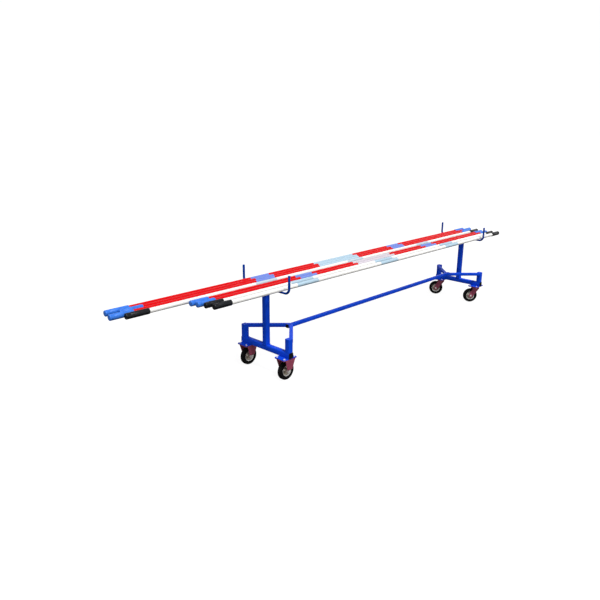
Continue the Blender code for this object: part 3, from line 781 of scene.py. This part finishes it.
def plug_piece(node, outward):
    """A domed push-in cap with a rim line, in place of the plain plug."""
    low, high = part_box(node)
    size = high.z - low.z
    place = (low + high) / 2
    outer = high if (outward.x + outward.y) > 0 else low
    tip = Vector((outer.x if outward.x else place.x, outer.y if outward.y else place.y, place.z))
    rings = []
    for inset, depth in PLUG_PROFILE:
        width = size - 2 * inset
        corner = max(PLUG_CORNER_SHARE * size - inset * PLUG_CORNER_LOSS, PLUG_LEAST_CORNER)
        rings.append(rounded_rectangle(width, width, corner, depth))
    shape = bmesh.new()
    add_loft(shape, rings)
    cap = make(node + "_cap", shape, BLACK, PLUG_SMOOTH_ANGLE)
    settle(cap, BODY_OF[node], Matrix.Translation(tip) @ frame_along(outward), (node,))


def plugs():
    for side, sign in (("left", -1), ("right", 1)):
        for end, across in (("front", -1), ("rear", 1)):
            plug_piece(f"{side}_{end}_beam_plug", Vector((0.0, across, 0.0)))
        plug_piece(f"{side}_spine_plug", Vector((sign, 0.0, 0.0)))


# Castors


def add_hexagon(shape, radius, bottom, top, crowned_top=False, matrix=Matrix()):
    """A hexagon head or nut, with its corners turned off most at the top or at the bottom."""
    low, high = (SMALL_CHAMFER, LARGE_CHAMFER) if crowned_top else (LARGE_CHAMFER, SMALL_CHAMFER)
    add_loft(shape, [
        circle(radius * low[0], bottom, HEXAGON_SEGMENTS),
        circle(radius, bottom + low[1], HEXAGON_SEGMENTS, 6),
        circle(radius, top - high[1], HEXAGON_SEGMENTS, 6),
        circle(radius * high[0], top, HEXAGON_SEGMENTS),
    ], matrix=matrix)


def add_plate_bolt(shape, spot, turn, upper, lower):
    """A nut over the mounting plate with the bolt's end through it, and a head under the castor's plate."""
    for level in (upper + WASHER_RISE, lower - WASHER_DROP):
        high = level + WASHER_THICKNESS
        washer = ((WASHER_HOLE, level), (WASHER_RADIUS, level), (WASHER_RADIUS, high), (WASHER_HOLE, high))
        add_turned(shape, washer, HEXAGON_SEGMENTS, matrix=spot)
    place = spot @ turn
    add_hexagon(shape, BOLT_NUT_RADIUS, upper + BOLT_NUT_BOTTOM, upper + BOLT_NUT_TOP, True, place)
    add_hexagon(shape, BOLT_NUT_RADIUS, lower - BOLT_HEAD_DROP, lower - WASHER_DROP, matrix=place)
    end = [(radius, upper + rise) for radius, rise in BOLT_END]
    add_turned(shape, end, BOLT_END_SEGMENTS, matrix=spot)


def castor_plate(name, swivels):
    """The castor's plate, with the swivel race where it has one, and its four bolts."""
    node = f"{name}_castor_plate"
    centre = middle(node)
    place = Matrix.Translation((centre.x, centre.y, 0.0))
    mount_low, mount_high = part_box(f"{name}_mount_plate")
    top = mount_low.z - PLATE_GAP
    bottom = top - PLATE_THICKNESS
    levels = (
        (PLATE_EDGE, bottom), (0.0, bottom + PLATE_EDGE), (0.0, top - PLATE_EDGE), (PLATE_EDGE, top),
    )
    rings = []
    for inset, z in levels:
        length, width = PLATE_LENGTH - 2 * inset, PLATE_WIDTH - 2 * inset
        rings.append(rounded_rectangle(length, width, PLATE_CORNER - inset, z))
    shape = bmesh.new()
    add_loft(shape, rings)
    if swivels:
        add_turned(shape, [(radius, bottom - drop) for radius, drop in RACE_PROFILE], RACE_SEGMENTS)
    settle(make(f"{name}_plate", shape, MAROON), BODY_OF[node], place, (node,))
    shape = bmesh.new()
    first, per_x, per_y = BOLT_TURN
    for x in (-1, 1):
        for y in (-1, 1):
            spot = Matrix.Translation((x * BOLT_SPACING_X / 2, y * BOLT_SPACING_Y / 2, 0.0))
            turn = Matrix.Rotation(first + per_x * x + per_y * y, 4, "Z")
            add_plate_bolt(shape, spot, turn, mount_high.z, bottom)
    settle(make(f"{name}_plate_bolts", shape, ZINC), BODY_OF[node], place)


def add_sheet(shape, stations):
    """A sheet through stations of (y, z, x from, x to), as one open surface to be thickened."""
    rows = []
    for y, z, start, stop in stations:
        shares = [index / FORK_COLUMNS for index in range(FORK_COLUMNS + 1)]
        rows.append([shape.verts.new((start + (stop - start) * share, y, z)) for share in shares])
    for lower, upper in zip(rows, rows[1:]):
        for index in range(FORK_COLUMNS):
            shape.faces.new((lower[index], lower[index + 1], upper[index + 1], upper[index]))


def thicken(piece, offset):
    solid = piece.modifiers.new("thickness", "SOLIDIFY")
    solid.thickness = FORK_SHEET
    solid.offset = offset
    solid.use_even_offset = True
    bevel = piece.modifiers.new("edges", "BEVEL")
    bevel.width = SHEET_EDGE
    bevel.segments = 2
    bevel.limit_method = "ANGLE"
    bevel.angle_limit = SHEET_EDGE_ANGLE


def leg_rows(eye_x, eye_z, top_z):
    """A swivel fork's leg from its round eye up to the crown, as rows of (z, x from, x to)."""
    radius = SWIVEL_EYE_RADIUS
    sides = []
    for side in (-1, 1):
        corner_x = side * CROWN_HALF
        away = Vector((corner_x - eye_x, top_z - eye_z))
        angle = math.atan2(away.y, away.x) - side * math.acos(radius / away.length)
        touch = (eye_x + radius * math.cos(angle), eye_z + radius * math.sin(angle))
        sides.append((side, corner_x, *touch))
    levels = []
    for index in range(SWIVEL_LEG_ROWS + 1):
        angle = SWIVEL_EYE_START + (math.pi / 2 - SWIVEL_EYE_START) * index / SWIVEL_LEG_ROWS
        levels.append(eye_z - radius * math.cos(angle))
    touches = sorted(touch_z for _, _, _, touch_z in sides)
    levels += [z for z in touches if z > levels[-1] + LEAST_ROW]
    last = levels[-1]
    levels += [last + (top_z - last) * (index + 1) / SWIVEL_LEG_ROWS for index in range(SWIVEL_LEG_ROWS)]
    rows = []
    for z in sorted(levels):
        ends = []
        for side, corner_x, touch_x, touch_z in sides:
            if z <= touch_z:
                ends.append(eye_x + side * math.sqrt(max(radius ** 2 - (z - eye_z) ** 2, 1e-9)))
            else:
                ends.append(touch_x + (corner_x - touch_x) * (z - touch_z) / (top_z - touch_z))
        rows.append((z, *ends))
    return rows


def swivel_fork(name):
    """The legs and crown in one bent sheet, the pressed dish under the race, and the kingpin's nut."""
    pivot = Vector(JOINTS[f"{name}_swivel"]["pos_m"])
    hub = Vector(JOINTS[f"{name}_wheel_spin"]["pos_m"])
    trail = hub - pivot
    trail_length = math.hypot(trail.x, trail.y)
    turn = Matrix.Rotation(math.atan2(trail.y, trail.x), 4, "Z")
    place = Matrix.Translation((pivot.x, pivot.y, 0.0)) @ turn
    body = BODY_OF[f"{name}_fork"]
    under_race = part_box(f"{name}_mount_plate")[0].z - CROWN_DEPTH
    crown_top = min(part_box(f"{name}_castor_plate")[0].z, under_race) - CROWN_GAP
    bend_z = crown_top - CROWN_SHEET_DROP - CROWN_BEND
    rows = leg_rows(trail_length, hub.z, bend_z)
    bend = []
    for index in range(1, CROWN_BEND_STEPS + 1):
        share = index / CROWN_BEND_STEPS
        y = -FORK_OUTER + CROWN_BEND * (1 - math.cos(math.pi / 2 * share))
        reach = CROWN_HALF + CROWN_FLARE * share
        bend.append((y, bend_z + CROWN_BEND * math.sin(math.pi / 2 * share), -reach, reach))
    half = [(-FORK_OUTER, *row) for row in rows] + bend
    shape = bmesh.new()
    add_sheet(shape, half + [(-y, z, start, stop) for y, z, start, stop in reversed(half)])
    sheet = make(f"{name}_fork_sheet", shape, MAROON)
    thicken(sheet, 1.0)
    settle(sheet, body, place, (f"{name}_fork",))
    shape = bmesh.new()
    dish = [(radius, crown_top - drop) for radius, drop in CROWN_DISH]
    add_turned(shape, dish, RACE_SEGMENTS, closed=True)
    for side in (-1, 1):
        outward = Matrix.Rotation(-side * math.pi / 2, 4, "X")
        eye = Matrix.Translation((trail_length, side * FORK_OUTER, hub.z)) @ outward
        add_turned(shape, EYE_BOSS, EYE_BOSS_SEGMENTS, matrix=eye)
    settle(make(f"{name}_fork_crown", shape, MAROON), body, place)
    shape = bmesh.new()
    add_hexagon(shape, KINGPIN_NUT_RADIUS, crown_top - KINGPIN_NUT_BOTTOM, crown_top - KINGPIN_NUT_TOP)
    add_turned(shape, [(radius, crown_top - drop) for radius, drop in KINGPIN_END], KINGPIN_SEGMENTS)
    settle(make(f"{name}_kingpin_nut", shape, ZINC), body, place)


def fixed_fork(name):
    """Two legs, each from a round eye out over a shoulder and up to the plate, and the web between them."""
    hub = Vector(JOINTS[f"{name}_wheel_spin"]["pos_m"])
    place = Matrix.Translation((hub.x, hub.y, 0.0))
    body = BODY_OF[f"{name}_fork"]
    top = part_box(f"{name}_fork")[1].z
    start = FIXED_EYE_START - math.pi / 2
    stop = math.asin(FIXED_BEND_RISE / FIXED_EYE_RADIUS)
    eye = []
    for index in range(FIXED_EYE_STEPS + 1):
        angle = start + (stop - start) * index / FIXED_EYE_STEPS
        reach, rise = FIXED_EYE_RADIUS * math.cos(angle), FIXED_EYE_RADIUS * math.sin(angle)
        eye.append((reach, hub.z + rise, FORK_OUTER))
    shoulder = (FIXED_SHOULDER_REACH, hub.z + FIXED_SHOULDER_RISE, FIXED_SHOULDER_SPREAD)
    crest = (FIXED_TOP_REACH, top, FIXED_TOP_SPREAD)
    bend = []
    for share in FIXED_BEND_SHARES:
        soft = share * share * (3 - 2 * share)
        bend.append(tuple(a + (b - a) * part for a, b, part in zip(eye[-1], shoulder, (soft, share, soft))))
    upper = []
    for index in range(FIXED_RISE_STEPS + 1):
        upper.append(tuple(a + (b - a) * index / FIXED_RISE_STEPS for a, b in zip(shoulder, crest)))
    shape = bmesh.new()
    for side in (-1, 1):
        add_sheet(shape, [(side * spread, z, -reach, reach) for reach, z, spread in eye + bend + upper])
    legs = make(f"{name}_fork_legs", shape, MAROON)
    for polygon in legs.data.polygons:
        if polygon.normal.y * polygon.center.y < 0:
            polygon.flip()
    thicken(legs, -1.0)
    settle(legs, body, place, (f"{name}_fork",))
    rings = []
    for inset, drop in WEB_LEVELS:
        length, width = 2 * (WEB_REACH - inset), 2 * (WEB_SPREAD - inset)
        rings.append(rounded_rectangle(length, width, WEB_CORNER, top - drop))
    shape = bmesh.new()
    add_loft(shape, rings)
    settle(make(f"{name}_fork_web", shape, MAROON), body, place)


def wheel(name):
    spin = JOINTS[f"{name}_wheel_spin"]
    hub = Vector(spin["pos_m"])
    place = Matrix.Translation(hub) @ frame_along(Vector(spin["axis"]))
    body = BODY_OF[f"{name}_rim"]
    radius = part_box(f"{name}_tyre")[1].z - hub.z
    shape = bmesh.new()
    half = (*TYRE_SIDE, (radius, TREAD_RIB), *TREAD_GROOVE, (radius, TREAD_MIDDLE))
    add_turned(shape, mirrored(half), WHEEL_SEGMENTS, closed=True)
    rubber = make(f"{name}_tyre_rubber", shape, RUBBER, TYRE_SMOOTH_ANGLE)
    settle(rubber, body, place, (f"{name}_tyre",))
    shape = bmesh.new()
    add_turned(shape, mirrored(HUB_SIDE + RIM_SIDE), WHEEL_SEGMENTS, closed=True)
    for index in range(RIVETS):
        turn = Matrix.Rotation(2 * math.pi * index / RIVETS, 4, "Z")
        spot = turn @ Matrix.Translation((RIVET_REACH, 0.0, 0.0))
        for side in (-1, 1):
            head = [(head_radius, side * z) for head_radius, z in RIVET_HEAD]
            add_turned(shape, head, RIVET_SEGMENTS, matrix=spot)
    settle(make(f"{name}_rim_pressing", shape, RIM), body, place, (f"{name}_rim",))


def axle(name):
    """The axle bolt with the washer under its head, and the lock nut with the washer under it."""
    hub = Vector(JOINTS[f"{name}_wheel_spin"]["pos_m"])
    place = Matrix.Translation(hub) @ frame_along(middle(f"{name}_axle_nut") - hub)
    body = BODY_OF[f"{name}_axle"]
    washer = AXLE_WASHER_SWIVEL if f"{name}_swivel" in JOINTS else AXLE_WASHER_FIXED
    washer_in = FORK_OUTER + AXLE_WASHER_INNER
    washer_out = FORK_OUTER + AXLE_WASHER_OUTER
    hexagon_out = FORK_OUTER + AXLE_HEXAGON_OUTER
    shape = bmesh.new()
    add_hexagon(shape, AXLE_HEXAGON, -hexagon_out, -washer_out)
    bolt = [(washer, -washer_out), (washer, -washer_in), (AXLE_RADIUS, -washer_in)]
    bolt += [(AXLE_RADIUS, FORK_OUTER + AXLE_END), (AXLE_TIP_RADIUS, FORK_OUTER + AXLE_TIP)]
    add_turned(shape, bolt, AXLE_SEGMENTS)
    settle(make(f"{name}_axle_bolt", shape, ZINC), body, place, (f"{name}_axle",))
    shape = bmesh.new()
    ring = [(AXLE_HOLE, washer_in), (washer, washer_in), (washer, washer_out), (AXLE_HOLE, washer_out)]
    add_turned(shape, ring, AXLE_SEGMENTS, closed=True)
    add_loft(shape, [
        circle(AXLE_HOLE, washer_out, HEXAGON_SEGMENTS),
        circle(AXLE_HEXAGON, washer_out, HEXAGON_SEGMENTS, 6),
        circle(AXLE_HEXAGON, hexagon_out - AXLE_NUT_CHAMFER, HEXAGON_SEGMENTS, 6),
        circle(AXLE_NUT_CROWN, hexagon_out, HEXAGON_SEGMENTS),
        circle(AXLE_HOLE, hexagon_out, HEXAGON_SEGMENTS),
    ], closed=True)
    settle(make(f"{name}_axle_lock_nut", shape, ZINC), body, place, (f"{name}_axle_nut",))


def castors():
    for side in ("left", "right"):
        for end in ("front", "rear"):
            name = f"{side}_{end}"
            swivels = f"{name}_swivel" in JOINTS
            castor_plate(name, swivels)
            if swivels:
                swivel_fork(name)
            else:
                fixed_fork(name)
            wheel(name)
            axle(name)


# Crossbars


def crossbar(name):
    """A banded tube with a moulded end piece on each end."""
    low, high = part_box(name)
    half = (high.x - low.x) / 2 - BAR_TRIM
    body = BODY_OF[name]
    shift, bands = BANDS[name]
    drift, end_length = (LONG_DRIFT, LONG_END) if name.startswith("long") else (SHORT_DRIFT, SHORT_END)
    along = Vector((1.0, -drift / CRADLE_SPACING, 0.0))
    place = Matrix.Translation((low + high) / 2) @ frame_along(along)
    red = bands[1][1] is RED
    reach = half - end_length + BAR_INSERT
    levels = [reach * (2 * index / BAR_LEVELS - 1) for index in range(BAR_LEVELS + 1)]
    shape = bmesh.new()
    add_turned(shape, [(BAR_RADIUS, z) for z in levels], BAR_SEGMENTS)
    tube = make(name + "_tube", shape, bar_gloss(name + "_paint", half, shift, bands))
    settle(tube, body, place, (name,))
    profile = [(radius, half - inward) for radius, inward in END_TIP]
    profile += [(radius, half - end_length + inward) for radius, inward in END_MOUTH]
    for word, side in (("left", -1), ("right", 1)):
        shape = bmesh.new()
        add_turned(shape, [(radius, side * z) for radius, z in profile], BAR_SEGMENTS)
        settle(make(f"{name}_end_{word}", shape, BLUE_END if red else BLACK_END), body, place)


# Stage, light and camera


def studio_floor():
    """A pale floor, lit from within so that it is as white as the ground in the photograph."""
    surface = Surface("floor", roughness=0.9, specular=0.05)
    dark, light = (0.12, 0.12, 0.12), (0.13, 0.13, 0.13)
    surface.colour(surface.mottle(dark, light, scale=0.6, detail=3.0))
    surface.shader.inputs["Emission Color"].default_value = (1.0, 1.0, 1.0, 1.0)
    surface.shader.inputs["Emission Strength"].default_value = FLOOR_GLOW
    shape = bmesh.new()
    add_loft(shape, [circle(radius, FLOOR_LEVEL, FLOOR_SEGMENTS) for radius in FLOOR_RADII])
    shape.faces.ensure_lookup_table()
    outer_cap = max(shape.faces, key=lambda face: face.calc_area())
    bmesh.ops.delete(shape, geom=[outer_cap], context="FACES_ONLY")
    floor = make("studio_floor", shape, surface.material)
    floor.visible_diffuse = False
    floor.visible_glossy = False


def studio_sky():
    """A dome that the camera sees as white, with darker ground below it for the undersides."""
    world = bpy.data.worlds.new("studio_world")
    bpy.context.scene.world = world
    world.use_nodes = True
    tree = world.node_tree
    split = tree.nodes.new("ShaderNodeSeparateXYZ")
    tree.links.new(tree.nodes.new("ShaderNodeTexCoord").outputs["Generated"], split.inputs[0])
    share = tree.nodes.new("ShaderNodeMapRange")
    share.inputs["From Min"].default_value = -1.0
    sky = tree.nodes.new("ShaderNodeValToRGB")
    fill_ramp(sky.color_ramp, [((level + 1) / 2, colour) for level, colour in SKY_LEVELS])
    tree.links.new(split.outputs["Z"], share.inputs["Value"])
    tree.links.new(share.outputs[0], sky.inputs["Fac"])
    tree.links.new(sky.outputs["Color"], tree.nodes["Background"].inputs["Color"])


def sun():
    light = bpy.data.lights.new("key", "SUN")
    light.energy = SUN_ENERGY
    light.angle = SUN_ANGLE
    lamp = bpy.data.objects.new("key", light)
    bpy.context.scene.collection.objects.link(lamp)
    lamp.matrix_world = Vector(SUN_FROM).to_track_quat("Z", "Y").to_matrix().to_4x4()


def camera():
    """The camera as fitted to the photograph."""
    level = Vector((math.sin(CAMERA_YAW), math.cos(CAMERA_YAW), 0.0))
    side = Vector((math.cos(CAMERA_YAW), -math.sin(CAMERA_YAW), 0.0))
    forward = math.cos(CAMERA_PITCH) * level - math.sin(CAMERA_PITCH) * UP
    down = -math.sin(CAMERA_PITCH) * level - math.cos(CAMERA_PITCH) * UP
    right = math.cos(CAMERA_ROLL) * side + math.sin(CAMERA_ROLL) * down
    below = -math.sin(CAMERA_ROLL) * side + math.cos(CAMERA_ROLL) * down
    data = bpy.data.cameras.new("camera")
    data.sensor_width = CAMERA_SENSOR
    data.lens = CAMERA_LENS
    viewer = bpy.data.objects.new("camera", data)
    bpy.context.scene.collection.objects.link(viewer)
    turn = Matrix((right, -below, -forward)).transposed().to_4x4()
    place = (CART.x - CAMERA_LEFT, CART.y - CAMERA_FRONT, CAMERA_HEIGHT)
    viewer.matrix_world = Matrix.Translation(place) @ turn
    bpy.context.scene.camera = viewer


painted_frame()
frame_welds()
plugs()
castors()
for bar in BANDS:
    crossbar(bar)
studio_floor()
studio_sky()
sun()
camera()
bpy.context.scene.view_settings.view_transform = "Standard"

bpy.context.view_layer.update()
